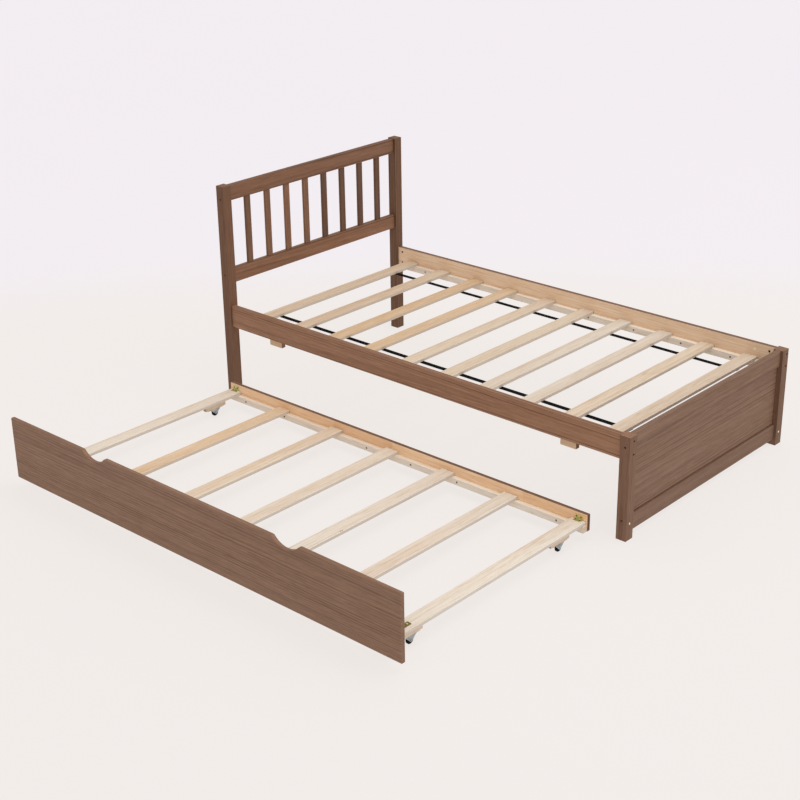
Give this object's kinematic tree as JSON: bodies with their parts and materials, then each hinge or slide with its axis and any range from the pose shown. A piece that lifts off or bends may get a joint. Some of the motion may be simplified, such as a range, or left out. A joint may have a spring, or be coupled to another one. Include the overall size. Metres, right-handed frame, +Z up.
{
  "type": "trundle bed",
  "caption": "Slatted twin bed with a spindle headboard, a panel footboard and a low slatted trundle that rolls out from under one side rail on casters.",
  "frame": {"origin": "on the floor, at the centre of the whole footprint with the trundle rolled out", "axes": "+X from headboard to footboard, +Y from the trundle's front board to the back side rail, +Z up"},
  "size_m": [2.01, 2.143, 0.8925],
  "materials": {
    "stained_pine": "brown stain, matt",
    "part_stained_pine": "brown stain outside and on top, bare pine inside",
    "bare_pine": "bare planed pine",
    "pale_pine": "bare planed pine, pale",
    "block_pine": "bare pine, faintly pink",
    "webbing": "black woven webbing",
    "zinc": "zinc plated",
    "yellow_zinc": "yellow zinc plated",
    "moulded_plastic": "black moulded wheels and white moulded leg plugs"
  },
  "bodies": {
    "bed": {"bed_ledger_back": "bare_pine", "bed_ledger_front": "bare_pine", "bed_slat_1": "bare_pine", "bed_slat_10": "bare_pine", "bed_slat_2": "bare_pine", "bed_slat_3": "bare_pine", "bed_slat_4": "bare_pine", "bed_slat_5": "bare_pine", "bed_slat_6": "bare_pine", "bed_slat_7": "bare_pine", "bed_slat_8": "bare_pine", "bed_slat_9": "bare_pine", "footboard_bottom_rail": "stained_pine", "footboard_leg_back": "stained_pine", "footboard_leg_front": "stained_pine", "footboard_panel": "stained_pine", "footboard_top_rail": "stained_pine", "headboard_lower_rail": "stained_pine", "headboard_post_back": "stained_pine", "headboard_post_front": "stained_pine", "headboard_spindle_1": "stained_pine", "headboard_spindle_2": "stained_pine", "headboard_spindle_3": "stained_pine", "headboard_spindle_4": "stained_pine", "headboard_spindle_5": "stained_pine", "headboard_spindle_6": "stained_pine", "headboard_spindle_7": "stained_pine", "headboard_spindle_8": "stained_pine", "headboard_top_rail": "stained_pine", "side_rail_back": "part_stained_pine", "side_rail_front": "part_stained_pine", "slat_strap_back": "webbing", "slat_strap_front": "webbing", "stop_block_foot": "bare_pine", "stop_block_head": "bare_pine"},
    "trundle": {"caster_block_foot_back": "block_pine", "caster_block_foot_front": "block_pine", "caster_block_head_back": "block_pine", "caster_block_head_front": "block_pine", "caster_fork_foot_back": "zinc", "caster_fork_foot_front": "zinc", "caster_fork_head_back": "zinc", "caster_fork_head_front": "zinc", "corner_bracket_foot": "yellow_zinc", "corner_bracket_head": "yellow_zinc", "trundle_back_board": "part_stained_pine", "trundle_front_board": "stained_pine", "trundle_ledger_back": "bare_pine", "trundle_ledger_front": "bare_pine", "trundle_slat_1": "pale_pine", "trundle_slat_2": "pale_pine", "trundle_slat_3": "pale_pine", "trundle_slat_4": "pale_pine", "trundle_slat_5": "pale_pine", "trundle_slat_6": "pale_pine", "trundle_slat_7": "pale_pine"},
    "wheel_foot_back": {"caster_wheel_foot_back": "moulded_plastic"},
    "wheel_foot_front": {"caster_wheel_foot_front": "moulded_plastic"},
    "wheel_head_back": {"caster_wheel_head_back": "moulded_plastic"},
    "wheel_head_front": {"caster_wheel_head_front": "moulded_plastic"}
  },
  "joints": [
    {"name": "trundle_slide", "type": "slide", "parent": "bed", "child": "trundle", "axis": [0, 1, 0], "range_m": [0, 1.101]},
    {"name": "wheel_spin_foot_back", "type": "hinge", "parent": "trundle", "child": "wheel_foot_back", "pos_m": [0.867, -0.18275, 0.0145], "axis": [1, 0, 0], "continuous": true},
    {"name": "wheel_spin_foot_front", "type": "hinge", "parent": "trundle", "child": "wheel_foot_front", "pos_m": [0.867, -0.93675, 0.0145], "axis": [1, 0, 0], "continuous": true},
    {"name": "wheel_spin_head_back", "type": "hinge", "parent": "trundle", "child": "wheel_head_back", "pos_m": [-0.867, -0.18275, 0.0145], "axis": [1, 0, 0], "continuous": true},
    {"name": "wheel_spin_head_front", "type": "hinge", "parent": "trundle", "child": "wheel_head_front", "pos_m": [-0.867, -0.93675, 0.0145], "axis": [1, 0, 0], "continuous": true}
  ]
}
